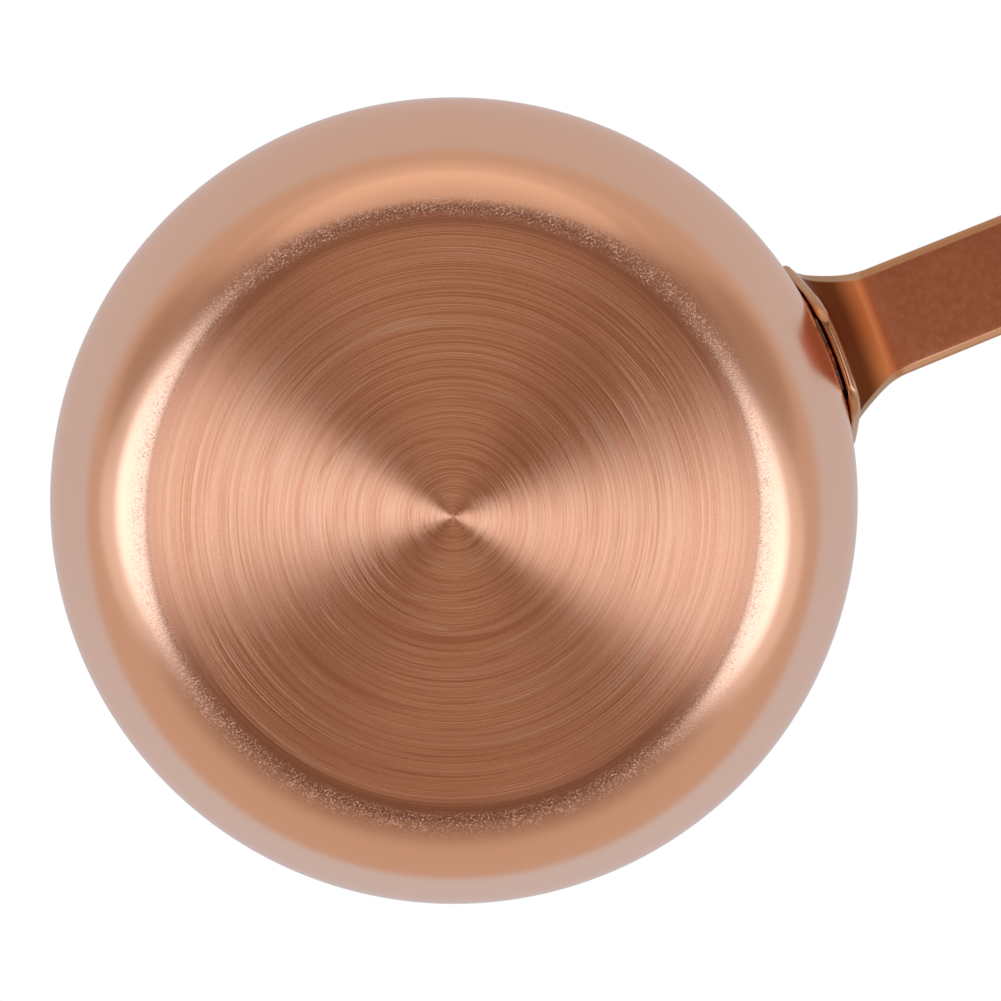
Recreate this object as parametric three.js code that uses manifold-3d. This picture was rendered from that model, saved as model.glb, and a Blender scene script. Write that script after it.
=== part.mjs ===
// A copper saucepan: a spun copper shell lined with steel, and a bent strap handle held by three rivets.
// Millimetres, +Z up. The origin is the middle of the base on the table, and the handle points along +X.
import * as THREE from 'three';
import { mergeVertices } from 'three/addons/utils/BufferGeometryUtils.js';
import Module from 'manifold-3d';

const wasm = await Module();
wasm.setup();

// Pan body
const panRadius = 70; // outside of the upright wall
const panHeight = 72; // table to rim
const baseRadius = 50; // flat part that stands on the hob
const cornerHeight = 30; // where the curve out of the base has become upright
const copperThickness = 1.5;
const liningThickness = 0.5;
const bondGap = 0.1; // between the two sheets
const rimLean = 1.2; // how far the rim leans out past the wall
const rimLeanHeight = 8; // height of the leaning stretch

// Handle, a flat blank bent into a plate against the wall, a neck that leans out and a strap that rises from it
const handleThickness = 2.2;
const plateClearance = 0.4; // plate to wall
const plateFoot = 27; // lower edge of the plate above the table
const plateHeight = 18.5; // lower edge to where the blank leaves the wall
const plateFootWidth = 20.5;
const plateCornerRadius = 5;
const earWidth = 35.5; // where the sides of the plate and the flare meet, before their corner is rounded
const earRounding = 1; // size of that rounding
const rootRadius = 14; // bend from plate to neck, middle of the sheet
const neckRise = THREE.MathUtils.degToRad(50); // slope of the straight neck
const neckLength = 10;
const bendRadius = 10; // bend from neck to strap, middle of the sheet
const strapWidth = 20.9;
const strapLength = 150; // from the end of the bend to the tip
const strapRise = THREE.MathUtils.degToRad(15); // slope where the strap leaves the bend
const strapTipRise = THREE.MathUtils.degToRad(12); // slope at the tip
const flareLength = 25.3; // ears to strap width, measured along the blank
const flareShape = 1.7; // power of the curve that narrows the ears
const bevelWidth = 1.4; // on the flat faces, all round the blank
const bevelDepth = 0.5; // off the thickness, on each face
const hangHoleDiameter = 9;
const hangHoleInset = 13; // hole centre to tip

// Rivets
const rivetDiameter = 5;
const rivetHeadDiameter = 10; // domed head inside the pan
const rivetHeadHeight = 2.4;
const rivetEndDiameter = 7; // countersunk end, flush with the plate
const countersinkDepth = 1;
const rivetClearance = 0.3; // round the shank and the countersunk end
const seatGap = 0.2; // head to lining
const upperRivetHeight = 12.5; // above the lower edge of the plate
const upperRivetSpacing = 18;
const lowerRivetHeight = 6; // above the lower edge of the plate

// Fineness of the round stretches
const panSegments = 60;
const cornerSteps = 10;
const rimSteps = 3;
const rivetSegments = 20;
const domeSteps = 4;
const roundSteps = 6;
const plateSteps = 6;
const rootSteps = 5;
const neckSteps = 4;
const bendSteps = 5;
const strapSteps = 12;
const acrossSteps = 8;
const tipShare = 0.97; // how far round its quarter circle each side of the tip is drawn: the end is not a point

const copper = { color: 0xc98a6a, roughness: 0.3, metalness: 1 };
const steel = { color: 0xc4c4c2, roughness: 0.35, metalness: 1 };

const wallThickness = copperThickness + bondGap + liningThickness;
const plateMiddle = panRadius + plateClearance + handleThickness / 2;
const plateFace = panRadius + plateClearance + handleThickness;

// One surface of the pan from its middle to the rim, set in from the outside by a depth
function panProfile(inset) {
  const corner = new THREE.EllipseCurve(
    baseRadius, cornerHeight, panRadius - baseRadius - inset, cornerHeight - inset, -Math.PI / 2, 0);
  const lean = new THREE.QuadraticBezierCurve(
    new THREE.Vector2(panRadius - inset, panHeight - rimLeanHeight),
    new THREE.Vector2(panRadius - inset, panHeight - rimLeanHeight / 2),
    new THREE.Vector2(panRadius + rimLean - inset, panHeight));
  return [new THREE.Vector2(0, inset), ...corner.getPoints(cornerSteps), ...lean.getPoints(rimSteps)];
}

// A round sheet between two depths, turned about the upright axis
function panSheet(outerInset, innerInset) {
  const profile = [...panProfile(outerInset), ...panProfile(innerInset).reverse()];
  return new THREE.LatheGeometry(profile, panSegments).rotateX(Math.PI / 2);
}

// A closed geometry as a solid that can be cut
function toSolid(geometry) {
  const bare = geometry.clone();
  bare.deleteAttribute('normal');
  bare.deleteAttribute('uv');
  const merged = mergeVertices(bare);
  const corners = merged.index.array;
  const triangles = [];
  for (let i = 0; i < corners.length; i += 3) {
    const [a, b, c] = corners.slice(i, i + 3);
    if (a !== b && b !== c && c !== a) triangles.push(a, b, c);
  }
  return new wasm.Manifold(new wasm.Mesh({
    numProp: 3,
    vertProperties: new Float32Array(merged.attributes.position.array),
    triVerts: new Uint32Array(triangles),
  }));
}

// A geometry with others cut out of it
function cut(geometry, tools) {
  const solid = tools.reduce((rest, tool) => rest.subtract(toSolid(tool)), toSolid(geometry));
  const mesh = solid.getMesh();
  const result = new THREE.BufferGeometry();
  result.setAttribute('position', new THREE.BufferAttribute(mesh.vertProperties, 3));
  result.setIndex(new THREE.BufferAttribute(mesh.triVerts, 1));
  result.computeVertexNormals();
  return result;
}

// The bent middle line of the handle: a point at a distance from the plate's lower edge, and its slope
const neckStart = plateHeight + rootRadius * (Math.PI / 2 - neckRise);
const bendStart = neckStart + neckLength;
const strapStart = bendStart + bendRadius * (neckRise - strapRise);
const tip = strapStart + strapLength;
const strapCurvature = (strapTipRise - strapRise) / strapLength;

function arcFrom(start, slope, curvature, distance) {
  const end = slope + curvature * distance;
  return {
    x: start.x + (Math.sin(end) - Math.sin(slope)) / curvature,
    z: start.z - (Math.cos(end) - Math.cos(slope)) / curvature,
    slope: end,
  };
}

function lineFrom(start, slope, distance) {
  return { x: start.x + distance * Math.cos(slope), z: start.z + distance * Math.sin(slope), slope };
}

function middleLine(distance) {
  const plate = lineFrom({ x: plateMiddle, z: plateFoot }, Math.PI / 2, Math.min(distance, plateHeight));
  if (distance <= plateHeight) return plate;
  const root = arcFrom(plate, Math.PI / 2, -1 / rootRadius, Math.min(distance, neckStart) - plateHeight);
  if (distance <= neckStart) return root;
  const neck = lineFrom(root, neckRise, Math.min(distance, bendStart) - neckStart);
  if (distance <= bendStart) return neck;
  const bend = arcFrom(neck, neckRise, -1 / bendRadius, Math.min(distance, strapStart) - bendStart);
  if (distance <= strapStart) return bend;
  return arcFrom(bend, strapRise, strapCurvature, distance - strapStart);
}

// Half the width of the blank: rounded foot, sides that widen to rounded ears, flare, strap and round tip
function halfWidth(distance) {
  const strapHalf = strapWidth / 2;
  const earHalf = earWidth / 2;
  const fromTip = tip - distance;
  if (fromTip < strapHalf) return Math.sqrt(strapHalf ** 2 - (strapHalf - fromTip) ** 2);
  const narrowing = Math.max(0, 1 - (distance - plateHeight) / flareLength);
  const flare = strapHalf + (earHalf - strapHalf) * narrowing ** flareShape;
  if (narrowing === 0) return flare;
  const side = THREE.MathUtils.lerp(plateFootWidth / 2, earHalf, distance / plateHeight);
  const rounded = (side + flare - Math.hypot(side - flare, earRounding)) / 2;
  const intoCorner = Math.max(0, plateCornerRadius - distance);
  return rounded - plateCornerRadius + Math.sqrt(plateCornerRadius ** 2 - intoCorner ** 2);
}

// Distances along the blank at which it is cut into rows
function handleRows() {
  const rows = [];
  const addRows = (from, to, steps) => {
    for (let i = 0; i < steps; i += 1) rows.push(THREE.MathUtils.lerp(from, to, i / steps));
  };
  for (let i = 0; i < roundSteps; i += 1) {
    rows.push(plateCornerRadius * (1 - Math.cos((i / roundSteps) * Math.PI / 2)));
  }
  const roundStart = tip - strapWidth / 2;
  addRows(plateCornerRadius, plateHeight, plateSteps);
  addRows(plateHeight, neckStart, rootSteps);
  addRows(neckStart, bendStart, neckSteps);
  addRows(bendStart, strapStart, bendSteps);
  addRows(strapStart, roundStart, strapSteps);
  for (let i = 0; i <= roundSteps; i += 1) {
    rows.push(roundStart + (strapWidth / 2) * Math.sin((i / roundSteps) * tipShare * Math.PI / 2));
  }
  return rows;
}

// A point of the blank after bending: along it, across it, and off its middle towards the underside
function bentPoint(distance, across, off) {
  const line = middleLine(distance);
  const sag = plateMiddle - Math.sqrt(plateMiddle ** 2 - across ** 2);
  const wrap = 1 - THREE.MathUtils.smoothstep(distance, plateHeight, plateHeight + flareLength);
  return [
    line.x + off * Math.sin(line.slope) - wrap * sag,
    across,
    line.z - off * Math.cos(line.slope),
  ];
}

// The blank as rings of points, one ring for each row, joined into a closed surface
function handleBlank() {
  const positions = [];
  const rows = handleRows();
  const columns = acrossSteps + 3;
  for (const distance of rows) {
    const half = halfWidth(distance);
    const flatHalf = Math.max(0, half - bevelWidth);
    const offsets = [half];
    for (let i = 0; i <= acrossSteps; i += 1) offsets.push(flatHalf * (1 - (2 * i) / acrossSteps));
    offsets.push(-half);
    const endDistance = Math.min(distance, tip - distance);
    for (const side of [1, -1]) {
      const ordered = side > 0 ? offsets : [...offsets].reverse();
      for (const across of ordered) {
        const edgeDistance = Math.min(half - Math.abs(across), endDistance);
        const bevel = bevelDepth * Math.max(0, 1 - edgeDistance / bevelWidth);
        positions.push(...bentPoint(distance, across, side * (handleThickness / 2 - bevel)));
      }
    }
  }
  const ring = 2 * columns;
  const index = [];
  for (let row = 0; row < rows.length - 1; row += 1) {
    for (let i = 0; i < ring; i += 1) {
      const a = row * ring + i;
      const b = row * ring + ((i + 1) % ring);
      index.push(a, a + ring, b, b, a + ring, b + ring);
    }
  }
  const last = (rows.length - 1) * ring;
  for (let i = 0; i < columns - 1; i += 1) {
    const far = ring - 1 - i;
    index.push(i, i + 1, far, i + 1, far - 1, far);
    index.push(last + i, last + far, last + i + 1, last + i + 1, last + far, last + far - 1);
  }
  const blank = new THREE.BufferGeometry();
  blank.setAttribute('position', new THREE.BufferAttribute(new Float32Array(positions), 3));
  blank.setIndex(index);
  return blank;
}

// A turned piece whose profile runs along +X, placed on the wall at a height and a distance to the side
function onWall(profile, height, aside) {
  const turned = new THREE.LatheGeometry(profile, rivetSegments).rotateZ(-Math.PI / 2);
  return turned.rotateZ(Math.asin(aside / panRadius)).translate(0, 0, height);
}

// Shank and countersunk end of a rivet, grown by a clearance, from a distance off the pan's axis outward
function shankProfile(from, to, grown) {
  const shank = rivetDiameter / 2 + grown;
  const end = rivetEndDiameter / 2 + grown;
  return [
    new THREE.Vector2(shank, from),
    new THREE.Vector2(shank, plateFace - countersinkDepth),
    new THREE.Vector2(end, plateFace),
    ...(to > plateFace ? [new THREE.Vector2(end, to)] : []),
    new THREE.Vector2(0, to),
  ];
}

function rivet(height, aside) {
  const head = rivetHeadDiameter / 2;
  const lining = panRadius - wallThickness;
  const seat = Math.sqrt(lining ** 2 - head ** 2) - seatGap;
  const dome = new THREE.EllipseCurve(0, seat, head, rivetHeadHeight, -Math.PI / 2, 0);
  return onWall([...dome.getPoints(domeSteps), ...shankProfile(seat, plateFace, 0)], height, aside);
}

// What is drilled for a rivet, from inside the pan to outside the plate
function rivetHole(height, aside) {
  const from = panRadius - 2 * wallThickness;
  const hole = shankProfile(from, plateFace + handleThickness, rivetClearance);
  return onWall([new THREE.Vector2(0, from), ...hole], height, aside);
}

// A hole through the tip, square to the strap
function hangHole() {
  const line = middleLine(tip - hangHoleInset);
  const drill = new THREE.CylinderGeometry(
    hangHoleDiameter / 2, hangHoleDiameter / 2, 3 * handleThickness, 2 * rivetSegments);
  return drill.rotateX(Math.PI / 2).rotateY(-line.slope).translate(line.x, 0, line.z);
}

const rivetPlaces = {
  rivet_upper_left: [plateFoot + upperRivetHeight, upperRivetSpacing / 2],
  rivet_upper_right: [plateFoot + upperRivetHeight, -upperRivetSpacing / 2],
  rivet_lower: [plateFoot + lowerRivetHeight, 0],
};
const rivetHoles = Object.values(rivetPlaces).map(([height, aside]) => rivetHole(height, aside));

const saucepan = new THREE.Group();
saucepan.name = 'saucepan';

function addPiece(name, geometry, finish) {
  const piece = new THREE.Mesh(geometry, new THREE.MeshStandardMaterial(finish));
  piece.name = name;
  saucepan.add(piece);
}

addPiece('copper_shell', cut(panSheet(0, copperThickness), rivetHoles), copper);
addPiece('steel_lining', cut(panSheet(copperThickness + bondGap, wallThickness), rivetHoles), steel);
addPiece('handle', cut(handleBlank(), [...rivetHoles, hangHole()]), copper);
for (const [name, [height, aside]] of Object.entries(rivetPlaces)) {
  addPiece(name, rivet(height, aside), copper);
}

export default saucepan;
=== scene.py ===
import bmesh
import bpy
import numpy as np
from mathutils import Matrix


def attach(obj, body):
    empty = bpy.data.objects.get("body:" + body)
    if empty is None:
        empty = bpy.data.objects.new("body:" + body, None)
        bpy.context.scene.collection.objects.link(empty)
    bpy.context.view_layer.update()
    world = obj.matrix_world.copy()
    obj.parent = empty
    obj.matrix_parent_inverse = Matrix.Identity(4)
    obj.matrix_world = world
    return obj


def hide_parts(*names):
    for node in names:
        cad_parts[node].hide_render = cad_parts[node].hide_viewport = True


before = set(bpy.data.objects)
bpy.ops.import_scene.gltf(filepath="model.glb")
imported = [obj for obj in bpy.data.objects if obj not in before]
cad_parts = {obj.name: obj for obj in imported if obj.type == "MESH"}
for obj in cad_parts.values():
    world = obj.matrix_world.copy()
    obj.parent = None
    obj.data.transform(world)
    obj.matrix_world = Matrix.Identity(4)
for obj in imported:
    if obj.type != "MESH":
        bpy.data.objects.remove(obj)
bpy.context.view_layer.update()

# The camera looks up at the underside of the pan from half a metre below, a little off its axis.
# The handle points right and up in the picture, and a long lens keeps the wall's taper small.
PICTURE_PIXELS = 1001
FOCAL_PIXELS = 3039.6
SENSOR_WIDTH = 36.0
CAMERA_DISTANCE = 0.5
NEAR_CLIP = 0.01
CAMERA_TILT = np.radians(5.0)
CAMERA_TILT_TOWARDS = np.radians(5.0)
HANDLE_ANGLE = np.radians(21.05)
AIM_RIGHT = 0.00776
AIM_UP = 0.00275

picture_right = np.array([np.cos(HANDLE_ANGLE), np.sin(HANDLE_ANGLE), 0.0])
picture_down = np.array([-np.sin(HANDLE_ANGLE), np.cos(HANDLE_ANGLE), 0.0])
pan_axis = np.array([0.0, 0.0, 1.0])


def unit(vector):
    """A vector divided by its length."""
    return vector / np.linalg.norm(vector)


lean = np.sin(CAMERA_TILT_TOWARDS) * picture_right - np.cos(CAMERA_TILT_TOWARDS) * picture_down
camera_place = -CAMERA_DISTANCE * (np.cos(CAMERA_TILT) * pan_axis - np.sin(CAMERA_TILT) * lean)
forward = unit(AIM_RIGHT * picture_right - AIM_UP * picture_down - camera_place)
right = unit(picture_right - forward * (picture_right @ forward))
up = np.cross(right, forward)

camera_data = bpy.data.cameras.new("camera")
camera_data.sensor_width = SENSOR_WIDTH
camera_data.sensor_fit = "HORIZONTAL"
camera_data.lens = SENSOR_WIDTH * FOCAL_PIXELS / PICTURE_PIXELS
camera_data.clip_start = NEAR_CLIP
camera = bpy.data.objects.new("camera", camera_data)
camera_turn = np.eye(4)
camera_turn[:3, :4] = np.stack([right, up, -forward, camera_place], axis=1)
camera.matrix_world = Matrix(camera_turn.tolist())
bpy.context.scene.collection.objects.link(camera)
bpy.context.scene.camera = camera


# Copper shell: one disc of copper spun over a former into a base, a round corner and a satin wall whose
# rim leans out a little for pouring. The base is then turned on a lathe, which leaves fine rings, and
# use has left pale scuffs where the corner begins. A dark ring is painted round the base's edge, much
# darker above and below in the picture, where it is painted dark reflection.
PAN_RADIUS = 0.070
PAN_HEIGHT = 0.072
BASE_RADIUS = 0.050
CORNER_HEIGHT = 0.030
COPPER_THICKNESS = 0.0015
RIM_LEAN = 0.0012
RIM_LEAN_HEIGHT = 0.008
DISH_RADIUS = 0.0488
DISH_DEPTH = 0.00022
DISH_FLATNESS = 6
DISH_STEPS = 24
FLOOR_RING_RADIUS = 0.025
PAN_SEGMENTS = 240
SHARP_ANGLE = 40
MERGE_DISTANCE = 1e-6


def pan_profile(inset, corner_steps=48, wall_steps=16, rim_steps=8):
    """One surface of the pan from the edge of its flat base to the rim, set in by a depth: a quarter
    ellipse from the base up to the wall, the upright wall, and a quadratic curve that leans out."""
    turn = np.linspace(0, np.pi / 2, corner_steps)
    corner = np.stack([
        BASE_RADIUS + (PAN_RADIUS - BASE_RADIUS - inset) * np.sin(turn),
        CORNER_HEIGHT - (CORNER_HEIGHT - inset) * np.cos(turn)], axis=1)
    wall_height = np.linspace(CORNER_HEIGHT, PAN_HEIGHT - RIM_LEAN_HEIGHT, wall_steps)[1:-1]
    wall = np.stack([np.full(wall_height.shape, PAN_RADIUS - inset), wall_height], axis=1)
    share = np.linspace(0, 1, rim_steps)
    leaning = np.stack([
        PAN_RADIUS - inset + RIM_LEAN * share ** 2,
        PAN_HEIGHT - RIM_LEAN_HEIGHT * (1 - share)], axis=1)
    return np.concatenate([corner, wall, leaning])


def turned(profile, segments):
    """A profile of (radius, height) points that starts and ends on the axis, turned once about it:
    a grid of point times angle, with one vertex at each pole. Returns vertices and faces."""
    ring = profile[1:-1]
    angle = np.linspace(0, 2 * np.pi, segments, endpoint=False)
    around = np.stack([
        ring[:, None, 0] * np.cos(angle),
        ring[:, None, 0] * np.sin(angle),
        ring[:, None, 1] + 0 * angle], axis=2)
    poles = np.array([[0, 0, profile[0, 1]], [0, 0, profile[-1, 1]]])
    points = np.concatenate([around.reshape(-1, 3), poles])
    row, column = np.meshgrid(np.arange(len(ring) - 1), np.arange(segments), indexing="ij")
    beside = (column + 1) % segments
    start, end = row * segments, (row + 1) * segments
    quads = np.stack([start + column, start + beside, end + beside, end + column], axis=2)
    first, last = len(points) - 2, len(points) - 1
    edge = np.arange(segments)
    next_edge = (edge + 1) % segments
    far = (len(ring) - 1) * segments
    bottom = np.stack([edge * 0 + first, next_edge, edge], axis=1)
    top = np.stack([edge * 0 + last, far + edge, far + next_edge], axis=1)
    return points, quads.reshape(-1, 4).tolist() + bottom.tolist() + top.tolist()


def new_piece(name, points, faces, sharp_angle=SHARP_ANGLE, marks=None):
    """An object at the origin from vertices and faces, with doubles merged, faces turned outward,
    and smooth shading that breaks at edges steeper than an angle in degrees. Marks are named values
    for each vertex that a material can read."""
    mesh = bpy.data.meshes.new(name)
    mesh.from_pydata(points.tolist(), [], faces)
    for mark, values in (marks or {}).items():
        mesh.attributes.new(mark, "FLOAT", "POINT").data.foreach_set("value", values)
    work = bmesh.new()
    work.from_mesh(mesh)
    bmesh.ops.remove_doubles(work, verts=work.verts, dist=MERGE_DISTANCE)
    bmesh.ops.recalc_face_normals(work, faces=work.faces)
    work.to_mesh(mesh)
    work.free()
    mesh.shade_smooth()
    mesh.set_sharp_from_angle(angle=np.radians(sharp_angle))
    piece = bpy.data.objects.new(name, mesh)
    bpy.context.scene.collection.objects.link(piece)
    return piece


def rounded_rim(outer_end, inner_end, steps=7):
    """A half circle over the rim, from the end of the outer face to the end of the inner one."""
    middle = (outer_end + inner_end) / 2
    reach = abs(outer_end[0] - inner_end[0]) / 2
    turn = np.linspace(0, np.pi, steps)[1:-1]
    return np.stack([middle[0] + reach * np.cos(turn), outer_end[1] + reach * np.sin(turn)], axis=1)


def sheet_profile(base, outer_inset, inner_inset):
    """The closed section of a spun sheet: the given line under the base, the outside, a rounded rim and
    the inside. The two faces stop half a thickness under the rim height, so that the rim's top is at it."""
    outer = pan_profile(outer_inset)
    inner = pan_profile(inner_inset)
    rim_drop = np.array([0, (inner_inset - outer_inset) / 2])
    outer[-1] -= rim_drop
    inner[-1] -= rim_drop
    rim = rounded_rim(outer[-1], inner[-1])
    floor_inside = np.array([[FLOOR_RING_RADIUS, inner_inset], [0, inner_inset]])
    return np.concatenate([base, outer, rim, inner[::-1], floor_inside])


dish_share = np.linspace(0, 1, DISH_STEPS)
dish_rise = DISH_DEPTH * (1 - dish_share ** DISH_FLATNESS)
dish = np.stack([DISH_RADIUS * dish_share, dish_rise], axis=1)
shell = new_piece("shell", *turned(sheet_profile(dish, 0, COPPER_THICKNESS), PAN_SEGMENTS))


class Wire:
    """A node's output. Arithmetic on it adds Math nodes, and node() adds any other node."""

    def __init__(self, tree, socket=None):
        self.tree = tree
        self.socket = socket

    def node(self, kind, settings=None, inputs=None, output=0):
        """Adds a node of a type: its settings are set first, then the value or link of each socket."""
        made = self.tree.nodes.new("ShaderNode" + kind)
        for name, value in (settings or {}).items():
            if name == "stops":
                ramp = made.color_ramp.elements
                while len(ramp) < len(value):
                    ramp.new(1.0)
                for element, (place, colour) in zip(ramp, value):
                    element.position = place
                    element.color = (*colour, 1.0)
            else:
                setattr(made, name, value)
        for name, value in (inputs or {}).items():
            if isinstance(value, Wire):
                self.tree.links.new(value.socket, made.inputs[name])
            else:
                made.inputs[name].default_value = value
        return Wire(self.tree, made.outputs[output])

    def math(self, operation, first, second=0.0):
        return self.node("Math", {"operation": operation}, {0: first, 1: second})

    def __add__(self, other):
        return self.math("ADD", self, other)

    def __sub__(self, other):
        return self.math("SUBTRACT", self, other)

    def __mul__(self, other):
        return self.math("MULTIPLY", self, other)

    def __truediv__(self, other):
        return self.math("DIVIDE", self, other)

    def __pow__(self, other):
        return self.math("POWER", self, other)

    def __rsub__(self, other):
        return self.math("SUBTRACT", other, self)

    __radd__ = __add__
    __rmul__ = __mul__

    def step(self, low, high):
        """Rises smoothly from 0 at low to 1 at high, or falls if low is the larger."""
        settings = {"interpolation_type": "SMOOTHSTEP"}
        return self.node("MapRange", settings, {"Value": self, "From Min": low, "From Max": high})

    def mix(self, first, second):
        """The first colour where this is 0, the second where it is 1."""
        inputs = {0: self, 6: first, 7: second}
        return self.node("Mix", {"data_type": "RGBA"}, inputs, 2)

    def noise(self, vector, scale, detail=2.0, rough=0.5):
        """A cloud of values about 0.5, at so many lumps for each unit of the vector."""
        inputs = {"Vector": vector, "Scale": scale, "Detail": detail, "Roughness": rough}
        return self.node("TexNoise", {}, inputs)

    def scaled(self, factor):
        """This vector stretched along each axis."""
        return self.node("VectorMath", {"operation": "MULTIPLY"}, {0: self, 1: factor})


def new_finish(name):
    """A material with an empty node tree: the material, a wire to build from, and its output node."""
    material = bpy.data.materials.new(name)
    material.use_nodes = True
    material.node_tree.nodes.clear()
    output = material.node_tree.nodes.new("ShaderNodeOutputMaterial")
    return material, Wire(material.node_tree), output


def rgba(red, green, blue):
    """An opaque colour."""
    return (red, green, blue, 1.0)


COPPER_BRIGHT = rgba(0.99, 0.60, 0.43)
COPPER_DEEP = rgba(0.76, 0.37, 0.23)
COPPER_GROOVE_SHADE = rgba(0.64, 0.28, 0.165)
COPPER_HAIRLINE_GLINT = rgba(1.0, 0.74, 0.58)
COPPER_CORNER = rgba(0.95, 0.62, 0.47)
COPPER_WALL = rgba(0.95, 0.60, 0.45)
COPPER_EDGE_TINT = rgba(1.0, 0.86, 0.80)
COPPER_SCUFF = rgba(0.98, 0.70, 0.60)
COPPER_DARK_RING = rgba(0.42, 0.19, 0.125)

# Radii, then heights, between which a zone of the surface fades in or out.
TURNED_END = (0.0492, 0.0478)
DARK_RING_START = (0.0466, 0.0488)
DARK_RING_END = (0.0516, 0.0502)
SCUFF_START = (0.0487, 0.0503)
SCUFF_END = (0.0546, 0.0516)
BASE_TO_CORNER = (0.0499, 0.0507)
CORNER_TO_WALL = (0.0036, 0.0058)
SMOOTHER_WALL = (0.008, 0.016)

# Noise values between which a mark fades in, and how much each kind of mark counts.
RING_CONTRAST = (0.34, 0.66)
BROAD_CONTRAST = (0.3, 0.7)
LINE_PRESENCE = (0.46, 0.62)
LINE_CORE = 0.1
SPECK_CONTRAST = (0.49, 0.63)
PATCH_CONTRAST = (0.36, 0.60)
FINE_SHARE = 0.64
CLOSE_SHARE = 0.30
BROAD_SHARE = 0.06
GRAIN_SHARE = 0.25
RINGS_PAST_TURNING = 0.3
LINE_COLOUR_SHARE = 0.55
GROOVE_DEPTH = 0.7
HAIRLINE_HEIGHT = 0.4
LEAST_SCUFFED = 0.4
SCUFF_COVER = 0.9
DARK_RING_ALL_ROUND = 0.10
PAINTED_REFLECTION_ABOVE_AND_BELOW = 0.45
PAINTED_REFLECTION_BELOW = 0.2
SPUN_RING_HEIGHT = 0.02
AXIS_GUARD = 1e-5

shell_finish, wire, shell_output = new_finish("turned_copper")
place = wire.node("TexCoord", {}, {}, "Object")
across = wire.node("SeparateXYZ", {}, {0: place}, "X")
along = wire.node("SeparateXYZ", {}, {0: place}, "Y")
height = wire.node("SeparateXYZ", {}, {0: place}, "Z")
radius = (across * across + along * along) ** 0.5


def ring_noise(arcs, rings_per_metre, detail, start=0.0):
    """Noise drawn out round the pan's axis, for the finish being made: it changes quickly with the
    radius and slowly with the angle."""
    from_axis = radius + AXIS_GUARD
    turn = {"X": across / from_axis * arcs, "Y": along / from_axis * arcs}
    drawn_out = wire.node("CombineXYZ", {}, {**turn, "Z": radius * rings_per_metre + start})
    return wire.noise(drawn_out, scale=1.0, detail=detail)


def thin_rings(rings_per_metre, start, width):
    """Thin separate rings, where a ring noise crosses its middle value. They fade in and out round
    the pan."""
    long_arcs = ring_noise(arcs=0.45, rings_per_metre=rings_per_metre, detail=0.0, start=start)
    crossing = wire.math("ABSOLUTE", long_arcs - 0.5)
    presence = ring_noise(arcs=1.3, rings_per_metre=300.0, detail=1.0, start=start)
    return crossing.step(width, LINE_CORE * width) * presence.step(*LINE_PRESENCE)


fine_rings = ring_noise(arcs=0.7, rings_per_metre=4300.0, detail=1.0).step(*RING_CONTRAST)
close_rings = ring_noise(arcs=0.6, rings_per_metre=2300.0, detail=1.0, start=40.0).step(*RING_CONTRAST)
broad_rings = ring_noise(arcs=0.8, rings_per_metre=500.0, detail=1.0, start=80.0).step(*BROAD_CONTRAST)
all_rings = fine_rings * FINE_SHARE + close_rings * CLOSE_SHARE + broad_rings * BROAD_SHARE
turned_zone = radius.step(*TURNED_END)
ring_strength = RINGS_PAST_TURNING + (1 - RINGS_PAST_TURNING) * turned_zone
rings = 0.5 + (all_rings - 0.5) * ring_strength
# Grooves are real thin rings cut lower; their darker colour is painted shade inside them.
shaded_grooves = thin_rings(rings_per_metre=1700.0, start=120.0, width=0.05) * turned_zone
# Hairlines are real thin raised scratches; their paler colour is a painted glint.
glinting_hairlines = thin_rings(rings_per_metre=1500.0, start=160.0, width=0.045) * turned_zone

speck_noise = wire.noise(place, scale=3000.0, detail=2.0, rough=0.65)
patches = wire.noise(place, scale=330.0, detail=4.0, rough=0.7)
scuff_band = radius.step(*SCUFF_START) * radius.step(*SCUFF_END)
scuff_density = LEAST_SCUFFED + (1 - LEAST_SCUFFED) * patches.step(*PATCH_CONTRAST)
scuffs = speck_noise.step(*SPECK_CONTRAST) * scuff_band * scuff_density

grain = wire.noise(place, scale=4200.0, detail=1.0).step(*RING_CONTRAST)
turned_tone = rings * (1 - GRAIN_SHARE) + grain * GRAIN_SHARE
turned_colour = turned_tone.mix(COPPER_DEEP, COPPER_BRIGHT)
# Painted shade: the grooves' colour is darkened.
groove_shaded_colour = (shaded_grooves * LINE_COLOUR_SHARE).mix(turned_colour, COPPER_GROOVE_SHADE)
# Painted glint: the hairlines' colour is made paler.
hairline_glint_colour = (glinting_hairlines * LINE_COLOUR_SHARE).mix(groove_shaded_colour, COPPER_HAIRLINE_GLINT)
sideways_share = (across * picture_right[0] + along * picture_right[1]) / (radius + AXIS_GUARD)
downward_share = (across * picture_down[0] + along * picture_down[1]) / (radius + AXIS_GUARD)
# Painted dark reflection: the dark ring round the base's edge is slight all round and much darker above and
# below in the picture.
dark_ring_strength = (DARK_RING_ALL_ROUND + PAINTED_REFLECTION_ABOVE_AND_BELOW * (1 - sideways_share ** 2.0)
                  + PAINTED_REFLECTION_BELOW * downward_share.step(0.0, 1.0))
dark_edge_ring = dark_ring_strength * radius.step(*DARK_RING_START) * radius.step(*DARK_RING_END)
dark_ringed_base = dark_edge_ring.mix(hairline_glint_colour, COPPER_DARK_RING)
ring_height = rings - shaded_grooves * GROOVE_DEPTH + glinting_hairlines * HAIRLINE_HEIGHT
ring_bump = wire.node("Bump", {}, {"Strength": 0.5, "Distance": 0.00011, "Height": ring_height})
turned_shader = wire.node("BsdfPrincipled", {}, {
    "Base Color": dark_ringed_base,
    "Metallic": 1.0,
    "Roughness": 0.29 + rings * 0.06 + glinting_hairlines * 0.05,
    "Anisotropic": 1.0,
    "Anisotropic Rotation": 0.25,
    "Specular Tint": COPPER_EDGE_TINT,
    "Normal": ring_bump})

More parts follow.
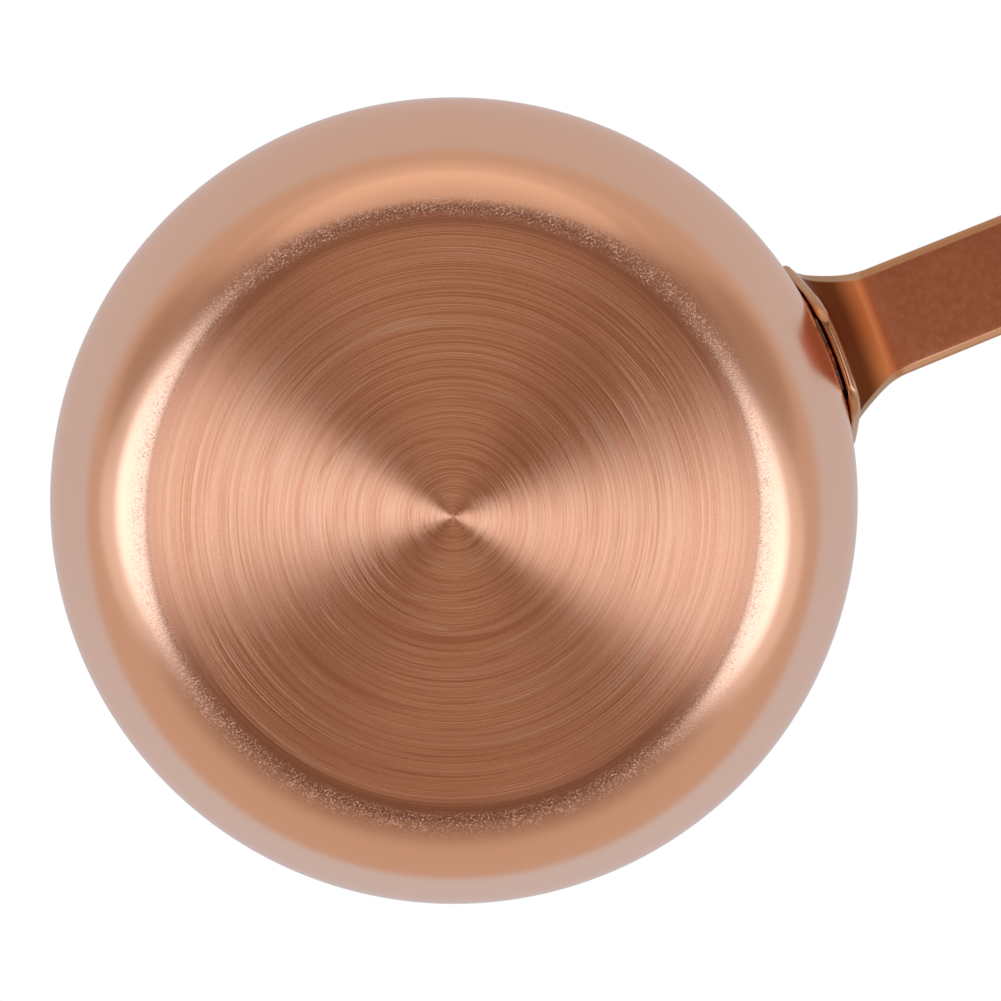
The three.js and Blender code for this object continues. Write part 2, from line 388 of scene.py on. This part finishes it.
spun_rings = ring_noise(arcs=1.4, rings_per_metre=900.0, detail=2.0)
wall_cloud = wire.noise(place, scale=60.0, detail=3.0)
wall_colour = height.step(*CORNER_TO_WALL).mix(COPPER_CORNER, COPPER_WALL)
# The corner carries the same dark ring and painted dark reflection.
dark_ringed_wall = dark_edge_ring.mix(wall_colour, COPPER_DARK_RING)
wall_relief = speck_noise * scuff_band + spun_rings * SPUN_RING_HEIGHT
wall_bump = wire.node("Bump", {}, {"Strength": 0.25, "Distance": 0.00004, "Height": wall_relief})
wall_shader = wire.node("BsdfPrincipled", {}, {
    "Base Color": dark_ringed_wall,
    "Metallic": 1.0,
    "Roughness": 0.19 - height.step(*SMOOTHER_WALL) * 0.06 + wall_cloud * 0.03,
    "Anisotropic": 0.3,
    "Anisotropic Rotation": 0.25,
    "Specular Tint": COPPER_EDGE_TINT,
    "Normal": wall_bump})
scuff_shader = wire.node("BsdfPrincipled", {}, {
    "Base Color": COPPER_SCUFF,
    "Metallic": 1.0,
    "Roughness": 0.58 + patches * 0.1,
    "Normal": wall_bump})
beyond_base = radius.step(*BASE_TO_CORNER)
clean_shader = wire.node("MixShader", {}, {0: beyond_base, 1: turned_shader, 2: wall_shader})
shell_shader = wire.node("MixShader", {}, {0: scuffs * SCUFF_COVER, 1: clean_shader, 2: scuff_shader})
wire.tree.links.new(shell_shader.socket, shell_output.inputs["Surface"])
shell.data.materials.append(shell_finish)
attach(shell, "root")
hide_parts("copper_shell")


# Steel lining: a thin sheet of stainless steel bonded to the inside of the copper, which keeps the
# copper off the food. It is brushed round and round, and its rim is flush with the copper's.
BOND_GAP = 0.0001
LINING_THICKNESS = 0.0005
FLOOR_TO_WALL = (0.055, 0.064)
WALL_STROKES = (60.0, 60.0, 2200.0)
STROKE_CONTRAST = (0.3, 0.7)

lining_outside = COPPER_THICKNESS + BOND_GAP
lining_inside = lining_outside + LINING_THICKNESS
under_lining = np.array([[0, lining_outside], [FLOOR_RING_RADIUS, lining_outside]])
lining_section = sheet_profile(under_lining, lining_outside, lining_inside)
lining = new_piece("lining", *turned(lining_section, PAN_SEGMENTS))

STEEL_PALE = rgba(0.72, 0.71, 0.69)
STEEL_GREY = rgba(0.60, 0.59, 0.575)
lining_finish, wire, lining_output = new_finish("brushed_steel")
place = wire.node("TexCoord", {}, {}, "Object")
across = wire.node("SeparateXYZ", {}, {0: place}, "X")
along = wire.node("SeparateXYZ", {}, {0: place}, "Y")
radius = (across * across + along * along) ** 0.5
floor_brushing = ring_noise(arcs=3.0, rings_per_metre=1800.0, detail=3.0)
wall_brushing = wire.noise(place.scaled(WALL_STROKES), scale=1.0, detail=2.0)
wall_share = radius.step(*FLOOR_TO_WALL)
strokes = wall_share * wall_brushing + (1 - wall_share) * floor_brushing
stroke_mask = strokes.step(*STROKE_CONTRAST)
lining_bump = wire.node("Bump", {}, {"Strength": 0.25, "Distance": 0.00003, "Height": strokes})
lining_shader = wire.node("BsdfPrincipled", {}, {
    "Base Color": stroke_mask.mix(STEEL_GREY, STEEL_PALE),
    "Metallic": 1.0,
    "Roughness": 0.26 + stroke_mask * 0.10,
    "Anisotropic": 0.7,
    "Anisotropic Rotation": 0.25,
    "Normal": lining_bump})
wire.tree.links.new(lining_shader.socket, lining_output.inputs["Surface"])
lining.data.materials.append(lining_finish)
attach(lining, "root")
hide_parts("steel_lining")


# Handle: one flat strip of copper, cut out with ears, bevelled all round, and bent. Its plate is wrapped
# round the wall and riveted to it, a straight neck leans out from there, and the strap rises from the
# bend to a round tip with a hanging hole. The underside of the hollow under the bend is painted amber as a
# painted reflection of the copper wall, deepening to painted shade nearer the wall.
HANDLE_THICKNESS = 0.0022
PLATE_CLEARANCE = 0.0004
PLATE_FOOT = 0.027
PLATE_HEIGHT = 0.0185
PLATE_FOOT_WIDTH = 0.0205
PLATE_CORNER_RADIUS = 0.005
EAR_WIDTH = 0.0355
EAR_ROUNDING = 0.001
ROOT_RADIUS = 0.014
NECK_RISE = np.radians(50.0)
NECK_LENGTH = 0.010
BEND_RADIUS = 0.010
STRAP_WIDTH = 0.0209
STRAP_LENGTH = 0.1499
STRAP_RISE = np.radians(15.0)
STRAP_TIP_RISE = np.radians(12.0)
FLARE_LENGTH = 0.0253
FLARE_SHAPE = 1.7
BEVEL_WIDTH = 0.0014
BEVEL_DEPTH = 0.0005
BEVEL_ROUNDING = 0.00005
NOSE_WIDTH = 0.00035
NOSE_COLUMNS = 6
HANG_HOLE_RADIUS = 0.0045
HANG_HOLE_INSET = 0.013
HANG_HOLE_CHAMFER = 0.0004
HANG_HOLE_SEGMENTS = 64
SLOPE_STEP = 1e-6
HANDLE_SHARP_ANGLE = 50
WEAR_END = 1.12
WEAR_FADE = 0.2
HOLLOW_FADE = 0.002

# The mesh columns in from the edge lie at these shares of the bevel's width, closest at its corner.
BEVEL_COLUMNS = (0.4, 0.7, 0.88, 0.94, 0.98, 1.02, 1.06, 1.12, 1.25)

half_sheet = HANDLE_THICKNESS / 2
plate_middle = PAN_RADIUS + PLATE_CLEARANCE + half_sheet
plate_face = PAN_RADIUS + PLATE_CLEARANCE + HANDLE_THICKNESS
strap_half = STRAP_WIDTH / 2
neck_start = PLATE_HEIGHT + ROOT_RADIUS * (np.pi / 2 - NECK_RISE)
bend_start = neck_start + NECK_LENGTH
strap_start = bend_start + BEND_RADIUS * (NECK_RISE - STRAP_RISE)
strap_tip = strap_start + STRAP_LENGTH
tip_centre = strap_tip - strap_half


def smooth_step(value, low, high):
    """Rises smoothly from 0 at low to 1 at high."""
    share = np.clip((value - low) / (high - low), 0, 1)
    return share * share * (3 - 2 * share)


def arc_from(start_x, start_z, slope, curvature, distance):
    """A circular arc from a point at a slope: the slope changes evenly with the distance along it."""
    end = slope + curvature * distance
    x = start_x + (np.sin(end) - np.sin(slope)) / curvature
    z = start_z - (np.cos(end) - np.cos(slope)) / curvature
    return x, z, end


def middle_line(distance):
    """The handle's middle line seen from the side: up the plate, round an arc to the straight neck, round
    another arc to the strap, which is a much wider arc. Returns x, z and the slope."""
    up_plate = np.clip(distance, 0, PLATE_HEIGHT)
    in_root = np.clip(distance, PLATE_HEIGHT, neck_start) - PLATE_HEIGHT
    up_neck = np.clip(distance, neck_start, bend_start) - neck_start
    in_bend = np.clip(distance, bend_start, strap_start) - bend_start
    along_strap = np.clip(distance - strap_start, 0, None)
    curvature = (STRAP_TIP_RISE - STRAP_RISE) / STRAP_LENGTH
    x, z, root_slope = arc_from(plate_middle, PLATE_FOOT + up_plate, np.pi / 2, -1 / ROOT_RADIUS, in_root)
    x = x + up_neck * np.cos(NECK_RISE)
    z = z + up_neck * np.sin(NECK_RISE)
    x, z, bend_slope = arc_from(x, z, NECK_RISE, -1 / BEND_RADIUS, in_bend)
    x, z, strap_slope = arc_from(x, z, STRAP_RISE, curvature, along_strap)
    slope = np.where(in_bend > 0, bend_slope, root_slope)
    return x, z, np.where(along_strap > 0, strap_slope, slope)


def half_width(distance):
    """Half the width of the flat strip: a foot with rounded corners, sides that widen to the ears, and a
    power curve that narrows the ears to the strap. The ears are the smaller of sides and curve, rounded."""
    narrowing = np.clip(1 - (distance - PLATE_HEIGHT) / FLARE_LENGTH, 0, None)
    flare = strap_half + (EAR_WIDTH / 2 - strap_half) * narrowing ** FLARE_SHAPE
    side = (PLATE_FOOT_WIDTH + (EAR_WIDTH - PLATE_FOOT_WIDTH) * distance / PLATE_HEIGHT) / 2
    rounded = (side + flare - np.hypot(side - flare, EAR_ROUNDING)) / 2
    into_corner = np.clip(PLATE_CORNER_RADIUS - distance, 0, None)
    return rounded - PLATE_CORNER_RADIUS + np.sqrt(PLATE_CORNER_RADIUS ** 2 - into_corner ** 2)


def half_thickness(from_edge):
    """Half the thickness at a distance in from the outline: a rounded nose, a straight bevel, then the
    flat face. The smaller of bevel and face is taken with a soft corner between them."""
    nose_share = np.clip(from_edge / NOSE_WIDTH, 0, 1)
    bevel = half_sheet - BEVEL_DEPTH * (1 - from_edge / BEVEL_WIDTH)
    blend = (bevel + half_sheet - np.hypot(bevel - half_sheet, BEVEL_ROUNDING)) / 2
    return blend * np.sqrt(1 - (1 - nose_share) ** 2)


def bent_point(distance, aside, off):
    """A point of the strip after bending: along it, across it, and off its middle towards the underside.
    The plate is also wrapped round the wall, and the wrap dies out past the ears."""
    x, z, slope = middle_line(distance)
    sag = plate_middle - np.sqrt(plate_middle ** 2 - aside ** 2)
    wrap = 1 - smooth_step(distance, PLATE_HEIGHT, PLATE_HEIGHT + FLARE_LENGTH)
    return np.stack([x + off * np.sin(slope) - wrap * sag, aside, z - off * np.cos(slope)], axis=-1)


def strip_grid(
        foot_rows, corner_rows, plate_rows, ear_rows, bend_rows, strap_rows, tip_rows, inner_columns):
    """The flat strip as a grid: one way runs up its left edge, round the tip and down its right edge,
    the other goes in from the edge to the middle line. Returns distance, aside and depth from the edge."""
    flare_end = PLATE_HEIGHT + FLARE_LENGTH
    rows = np.unique(np.concatenate([
        np.linspace(0, 1, foot_rows) ** 2 * BEVEL_WIDTH,
        np.linspace(BEVEL_WIDTH, PLATE_CORNER_RADIUS, corner_rows),
        np.linspace(PLATE_CORNER_RADIUS, PLATE_HEIGHT, plate_rows),
        np.linspace(PLATE_HEIGHT - 3 * EAR_ROUNDING, PLATE_HEIGHT + 4 * EAR_ROUNDING, ear_rows),
        np.linspace(PLATE_HEIGHT, flare_end, bend_rows),
        np.linspace(flare_end, tip_centre, strap_rows)]))
    turn = np.linspace(np.pi / 2, -np.pi / 2, tip_rows)[1:-1]
    along_path = np.concatenate([rows, np.full(turn.shape, tip_centre), rows[::-1]])
    angle = np.concatenate([np.full(rows.shape, np.pi / 2), turn, np.full(rows.shape, -np.pi / 2)])
    half = half_width(along_path)
    wider = half_width(along_path + SLOPE_STEP) - half_width(along_path - SLOPE_STEP)
    edge_slope = wider / (2 * SLOPE_STEP)
    edge_slope = np.where(along_path < PLATE_CORNER_RADIUS, 0, edge_slope)
    squareness = 1 / np.sqrt(1 + edge_slope ** 2)
    nose = NOSE_WIDTH * (1 - np.cos(np.linspace(0, np.pi / 2, NOSE_COLUMNS)))
    bevel = np.array(BEVEL_COLUMNS) * BEVEL_WIDTH
    edge_insets = np.concatenate([nose, bevel])
    inside = np.linspace(0, 1, inner_columns + 1)[1:]
    edge_part = edge_insets[None, :] / squareness[:, None]
    inner_part = edge_part[:, -1:] + (half[:, None] - edge_part[:, -1:]) * inside
    inset = np.concatenate([edge_part, inner_part], axis=1)
    reach = half[:, None] - inset
    distance = along_path[:, None] + reach * np.cos(angle)[:, None]
    aside = reach * np.sin(angle)[:, None]
    from_edge = np.minimum(inset * squareness[:, None], distance)
    return distance, aside, from_edge


def grid_quads(rows, columns):
    """Quads between the neighbouring rows and columns of a grid."""
    row, column = np.meshgrid(np.arange(rows - 1), np.arange(columns - 1), indexing="ij")
    corner = row * columns + column
    return np.stack([corner, corner + 1, corner + columns + 1, corner + columns], axis=2).reshape(-1, 4)


strip_distance, strip_aside, strip_depth = strip_grid(
    foot_rows=14, corner_rows=8, plate_rows=14, ear_rows=29,
    bend_rows=40, strap_rows=60, tip_rows=33, inner_columns=10)
strip_off = half_thickness(strip_depth)
underside = bent_point(strip_distance, strip_aside, strip_off).reshape(-1, 3)
upper_side = bent_point(strip_distance, strip_aside, -strip_off).reshape(-1, 3)
side_quads = grid_quads(*strip_distance.shape)
handle_points = np.concatenate([underside, upper_side])
handle_faces = side_quads.tolist() + (side_quads[:, ::-1] + len(underside)).tolist()
edge_wear = np.clip((WEAR_END - strip_depth / BEVEL_WIDTH) / WEAR_FADE, 0, 1).ravel()
# The hollow mark places painted reflection and painted shade on the underside under the bend, strongest at
# the root by the wall.
from_strap = np.clip((strap_start - strip_distance) / (strap_start - neck_start), 0, 1)
above_plate = smooth_step(strip_distance, PLATE_HEIGHT / 2, PLATE_HEIGHT + HOLLOW_FADE)
hollow = (from_strap * above_plate).ravel()
handle_marks = {
    "wear": np.concatenate([edge_wear, edge_wear]),
    "hollow": np.concatenate([hollow, 0 * hollow])}
handle = new_piece("handle", handle_points, handle_faces, HANDLE_SHARP_ANGLE, handle_marks)


def bored(piece, cutters):
    """Cuts each closed cutter out of a piece with an exact boolean, keeps the result as the piece's own
    mesh, and removes the cutters."""
    for cutter in cutters:
        cut = piece.modifiers.new("bore", "BOOLEAN")
        cut.operation = "DIFFERENCE"
        cut.solver = "EXACT"
        cut.object = cutter
    graph = bpy.context.evaluated_depsgraph_get()
    bored_mesh = bpy.data.meshes.new_from_object(piece.evaluated_get(graph))
    bored_mesh.set_sharp_from_angle(angle=np.radians(SHARP_ANGLE))
    piece.modifiers.clear()
    piece.data = bored_mesh
    for cutter in cutters:
        bpy.data.objects.remove(cutter)


hole_x, hole_z, hole_slope = middle_line(np.array(strap_tip - HANG_HOLE_INSET))
drill_reach = 2 * HANDLE_THICKNESS
chamfer_radius = HANG_HOLE_RADIUS + HANG_HOLE_CHAMFER
chamfer_start = half_sheet - HANG_HOLE_CHAMFER
drill_section = np.array([
    [0, -drill_reach],
    [chamfer_radius, -drill_reach],
    [chamfer_radius, -half_sheet],
    [HANG_HOLE_RADIUS, -chamfer_start],
    [HANG_HOLE_RADIUS, chamfer_start],
    [chamfer_radius, half_sheet],
    [chamfer_radius, drill_reach],
    [0, drill_reach]])
drill_points, drill_faces = turned(drill_section, HANG_HOLE_SEGMENTS)
strap_direction = np.array([np.cos(hole_slope), 0, np.sin(hole_slope)])
strap_normal = np.array([-np.sin(hole_slope), 0, np.cos(hole_slope)])
drill_axes = np.stack([strap_direction, np.array([0.0, 1.0, 0.0]), strap_normal])
drill_place = np.array([hole_x, 0, hole_z])
drill = new_piece("drill", drill_points @ drill_axes + drill_place, drill_faces)
bored(handle, [drill])

HANDLE_COPPER = rgba(0.74, 0.34, 0.215)
HANDLE_DEEP = rgba(0.65, 0.28, 0.165)
HANDLE_WORN = rgba(0.64, 0.40, 0.24)
HANDLE_PAINTED_REFLECTION = rgba(0.88, 0.27, 0.078)
HANDLE_PAINTED_SHADE = rgba(0.18, 0.036, 0.005)
MOTTLE_CONTRAST = (0.35, 0.7)
CLOUD_CONTRAST = (0.35, 0.65)
MOTTLE_SHARE = 0.6
PAINTED_REFLECTION_FADE = (0.0, 0.45)
PAINTED_SHADE_FADE = (0.28, 0.85)
WORN_SHARE = 0.8
handle_finish, wire, handle_output = new_finish("satin_copper")
place = wire.node("TexCoord", {}, {}, "Object")
mottle = wire.noise(place, scale=650.0, detail=4.0, rough=0.6)
cloud = wire.noise(place, scale=70.0, detail=2.0)
tone = mottle.step(*MOTTLE_CONTRAST) * MOTTLE_SHARE + cloud.step(*CLOUD_CONTRAST) * (1 - MOTTLE_SHARE)
worn = wire.node("Attribute", {"attribute_name": "wear"}, {}, "Fac")
hollow_share = wire.node("Attribute", {"attribute_name": "hollow"}, {}, "Fac")
mottled = tone.mix(HANDLE_DEEP, HANDLE_COPPER)
# Painted reflection of the copper wall in amber, deepening to painted shade where the hollow mark is
# strongest.
hollow_reflection = hollow_share.step(*PAINTED_REFLECTION_FADE).mix(mottled, HANDLE_PAINTED_REFLECTION)
hollow_shaded = hollow_share.step(*PAINTED_SHADE_FADE).mix(hollow_reflection, HANDLE_PAINTED_SHADE)
handle_colour = (worn * WORN_SHARE).mix(hollow_shaded, HANDLE_WORN)
handle_bump = wire.node("Bump", {}, {"Strength": 0.12, "Distance": 0.00003, "Height": mottle})
handle_shader = wire.node("BsdfPrincipled", {}, {
    "Base Color": handle_colour,
    "Metallic": 1.0,
    "Roughness": 0.12 + mottle * 0.10,
    "Specular Tint": COPPER_EDGE_TINT,
    "Normal": handle_bump})
wire.tree.links.new(handle_shader.socket, handle_output.inputs["Surface"])
handle.data.materials.append(handle_finish)
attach(handle, "root")
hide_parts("handle")


# Rivets: three solid copper rivets through plate, shell and lining. Each has a domed head inside the
# pan, and its other end is hammered into a countersink until it is flush with the plate.
RIVET_RADIUS = 0.0025
RIVET_HEAD_RADIUS = 0.005
RIVET_HEAD_HEIGHT = 0.0024
RIVET_END_RADIUS = 0.0035
COUNTERSINK_DEPTH = 0.001
SEAT_GAP = 0.0002
UPPER_RIVET_HEIGHT = 0.0125
UPPER_RIVET_ASIDE = 0.009
LOWER_RIVET_HEIGHT = 0.006
RIVET_PROUD = 0.00002
RIVET_SEGMENTS = 48
RIVET_SHARP_ANGLE = 30
DOME_STEPS = 12
BORE_FIT = 0.00005
RIVET_CONTRAST = (0.3, 0.7)

lining_face = PAN_RADIUS - lining_inside
rivet_seat = np.sqrt(lining_face ** 2 - RIVET_HEAD_RADIUS ** 2) - SEAT_GAP


def shank_profile(start, end, grown):
    """Shank and countersunk end of a rivet as (radius, distance from the pan's axis), grown by a fit."""
    return np.array([
        [RIVET_RADIUS + grown, start],
        [RIVET_RADIUS + grown, plate_face - COUNTERSINK_DEPTH],
        [RIVET_END_RADIUS + grown, plate_face],
        [RIVET_END_RADIUS + grown, end],
        [0, end]])


def set_in_wall(section, level, aside):
    """A turned section whose axis points outward from the pan's axis, at a level and a distance aside."""
    points, faces = turned(section, RIVET_SEGMENTS)
    sine = aside / PAN_RADIUS
    cosine = np.sqrt(1 - sine ** 2)
    outward = np.array([cosine, sine, 0.0])
    sideways = np.array([-sine, cosine, 0.0])
    axes = np.stack([sideways, np.array([0.0, 0.0, 1.0]), outward])
    return points @ axes + np.array([0, 0, level]), faces


dome_turn = np.linspace(0, np.pi / 2, DOME_STEPS)
rivet_head = np.stack([
    RIVET_HEAD_RADIUS * np.sin(dome_turn),
    rivet_seat - RIVET_HEAD_HEIGHT * np.cos(dome_turn)], axis=1)
rivet_section = np.concatenate([rivet_head, shank_profile(rivet_seat, plate_face + RIVET_PROUD, 0)])
rivet_places = {
    "rivet_upper_left": (PLATE_FOOT + UPPER_RIVET_HEIGHT, UPPER_RIVET_ASIDE),
    "rivet_upper_right": (PLATE_FOOT + UPPER_RIVET_HEIGHT, -UPPER_RIVET_ASIDE),
    "rivet_lower": (PLATE_FOOT + LOWER_RIVET_HEIGHT, 0.0)}
bore_start = PAN_RADIUS - 2 * lining_inside
bore_section = np.concatenate([
    [[0, bore_start]], shank_profile(bore_start, plate_face + HANDLE_THICKNESS, BORE_FIT)])
for carrier in (shell, lining, handle):
    bores = [new_piece("bore", *set_in_wall(bore_section, *spot)) for spot in rivet_places.values()]
    bored(carrier, bores)

rivet_finish, wire, rivet_output = new_finish("hammered_copper")
place = wire.node("TexCoord", {}, {}, "Object")
dents = wire.noise(place, scale=700.0, detail=2.0)
rivet_cloud = wire.noise(place, scale=260.0, detail=3.0)
rivet_bump = wire.node("Bump", {}, {"Strength": 0.3, "Distance": 0.0001, "Height": dents})
rivet_shader = wire.node("BsdfPrincipled", {}, {
    "Base Color": rivet_cloud.step(*RIVET_CONTRAST).mix(HANDLE_DEEP, HANDLE_COPPER),
    "Metallic": 1.0,
    "Roughness": 0.22 + rivet_cloud * 0.14,
    "Specular Tint": COPPER_EDGE_TINT,
    "Normal": rivet_bump})
wire.tree.links.new(rivet_shader.socket, rivet_output.inputs["Surface"])
for node_name, spot in rivet_places.items():
    rivet = new_piece(node_name + "_fine", *set_in_wall(rivet_section, *spot), RIVET_SHARP_ANGLE)
    rivet.data.materials.append(rivet_finish)
    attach(rivet, "root")
    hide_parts(node_name)


# Floor: a plain pale table top. It shows only from above, so that the underside can be seen through it,
# and it takes the pan's shadow.
FLOOR_DEPTH = 0.0003
FLOOR_REACH = 3.0
FLOOR_COLOUR = rgba(0.90, 0.89, 0.88)

floor_corner = np.array([[-1, -1], [1, -1], [1, 1], [-1, 1]]) * FLOOR_REACH
floor_points = np.concatenate([floor_corner, np.full((4, 1), -FLOOR_DEPTH)], axis=1)
floor = new_piece("floor", floor_points, [[0, 1, 2, 3]])
floor_finish, wire, floor_output = new_finish("pale_table")
seen = wire.node("LightPath", {}, {}, "Is Camera Ray")
from_below = wire.node("NewGeometry", {}, {}, "Backfacing")
shown = seen * (1 - from_below)
clear = wire.node("BsdfTransparent", {}, {})
table_top = wire.node("BsdfDiffuse", {}, {"Color": FLOOR_COLOUR})
floor_shader = wire.node("MixShader", {}, {0: shown, 1: clear, 2: table_top})
wire.tree.links.new(floor_shader.socket, floor_output.inputs["Surface"])
floor.data.materials.append(floor_finish)


# Studio: a white room, darker below where the camera stands and in two gaps low at the sides. Two soft
# boxes with halos light the underside from the picture's left and right, a warm one with a halo lights
# it from the picture's top, and one lamp hangs over the table.
ROOM_WARM = rgba(0.585, 0.565, 0.55)
ROOM_COOL = rgba(0.62, 0.72, 0.83)
LOW_ROOM_STOPS = [
    (0.0, (0.208, 0.118, 0.075)),
    (0.05, (0.255, 0.150, 0.098)),
    (0.146, (0.41, 0.28, 0.205)),
    (0.21, (0.53, 0.40, 0.31)),
    (0.29, (0.59, 0.452, 0.36))]
LOW_TO_HIGH = (0.515, 0.56)
ROOM_TILT = 0.08
DARK_TILT = -0.03
GAP_POLAR = np.radians(64)
RIGHT_GAP = np.radians(23)
LEFT_GAP = np.radians(159)
GAP_EDGE = (0.94, 0.988)
GAP_STRENGTH = 0.55
GAP_COLOUR = rgba(0.25, 0.145, 0.095)
BACKDROP_WHITE = rgba(1.0, 1.0, 1.0)

world = bpy.data.worlds.new("studio")
bpy.context.scene.world = world
world.use_nodes = True
world.node_tree.nodes.clear()
wire = Wire(world.node_tree)
looking = wire.node("TexCoord", {}, {}, "Generated")


def facing(aim):
    """How far a direction in the room points along a given one: 1 along it, -1 against it."""
    inputs = {0: looking, 1: tuple(aim)}
    return wire.node("VectorMath", {"operation": "DOT_PRODUCT"}, inputs, "Value")


def room_direction(polar, azimuth):
    """A direction from the pan. The polar angle is from straight below, and the azimuth turns from the
    picture's right to its top."""
    outward = np.cos(azimuth) * picture_right - np.sin(azimuth) * picture_down
    return np.sin(polar) * outward - np.cos(polar) * pan_axis


def gap_between_boxes(azimuth):
    """1 towards the dark gap between two soft boxes, falling to 0 round it."""
    return facing(room_direction(GAP_POLAR, azimuth)).step(*GAP_EDGE)


towards_top = facing(-picture_down)
rise = wire.node("SeparateXYZ", {}, {0: looking}, "Z") * 0.5 + 0.5
even_room = wire.node("ValToRGB", {"stops": LOW_ROOM_STOPS}, {"Fac": rise + towards_top * DARK_TILT})
gaps = gap_between_boxes(RIGHT_GAP) + gap_between_boxes(LEFT_GAP)
low_room = (gaps * GAP_STRENGTH).mix(even_room, GAP_COLOUR)
high_room = (towards_top * 0.5 + 0.5).mix(ROOM_COOL, ROOM_WARM)
room = (rise + towards_top * ROOM_TILT).step(*LOW_TO_HIGH).mix(low_room, high_room)
lit = wire.node("Background", {}, {"Color": room, "Strength": 1.0})
white = wire.node("Background", {}, {"Color": BACKDROP_WHITE, "Strength": 1.0})
to_camera = wire.node("LightPath", {}, {}, "Is Camera Ray")
surround = wire.node("MixShader", {}, {0: to_camera, 1: lit, 2: white})
world_output = world.node_tree.nodes.new("ShaderNodeOutputWorld")
world.node_tree.links.new(surround.socket, world_output.inputs["Surface"])

BOX_DISTANCE = 0.7
TABLE_BOX_DISTANCE = 1.6
RIGHT_AZIMUTH = np.radians(-16)
LEFT_AZIMUTH = np.radians(184)
UPPER_AZIMUTH = np.radians(92)
TABLE_AZIMUTH = np.radians(200)
SIDE_BOX_POLAR = np.radians(34.5)
SIDE_HALO_POLAR = np.radians(45.5)
UPPER_BOX_POLAR = np.radians(41)
UPPER_HALO_POLAR = np.radians(46)
TABLE_POLAR = np.radians(150)
COOL_TINT = (0.85, 0.93, 1.0)
WARM_TINT = (1.0, 0.93, 0.85)
AMBER_TINT = (1.0, 0.85, 0.72)


def soft_box(name, polar, azimuth, tint, width, length, radiance, distance=BOX_DISTANCE, mirrored=True):
    """An oval area lamp aimed at the pan. Its power is its radiance times pi times its area."""
    away = room_direction(polar, azimuth)
    side = unit(np.cross(pan_axis, away))
    data = bpy.data.lights.new(name, "AREA")
    data.shape = "ELLIPSE"
    data.size = width
    data.size_y = length
    data.energy = radiance * np.pi * np.pi / 4 * width * length
    data.color = tint
    lamp = bpy.data.objects.new(name, data)
    lamp_turn = np.eye(4)
    lamp_turn[:3, :4] = np.stack([side, np.cross(away, side), away, away * distance], axis=1)
    lamp.matrix_world = Matrix(lamp_turn.tolist())
    lamp.visible_camera = False
    lamp.visible_glossy = mirrored
    bpy.context.scene.collection.objects.link(lamp)


for side_name, side_azimuth in (("right", RIGHT_AZIMUTH), ("left", LEFT_AZIMUTH)):
    soft_box(side_name + "_box", SIDE_BOX_POLAR, side_azimuth, COOL_TINT,
             width=0.35, length=0.56, radiance=1.2)
    soft_box(side_name + "_halo", SIDE_HALO_POLAR, side_azimuth, COOL_TINT,
             width=0.48, length=0.88, radiance=0.29)
soft_box("upper_box", UPPER_BOX_POLAR, UPPER_AZIMUTH, AMBER_TINT, width=0.62, length=0.50, radiance=0.32)
soft_box("upper_halo", UPPER_HALO_POLAR, UPPER_AZIMUTH, AMBER_TINT, width=1.00, length=0.66, radiance=0.14)
soft_box("table_box", TABLE_POLAR, TABLE_AZIMUTH, WARM_TINT, width=1.2, length=1.2, radiance=0.9,
         distance=TABLE_BOX_DISTANCE, mirrored=False)

bpy.context.scene.view_settings.view_transform = "Standard"
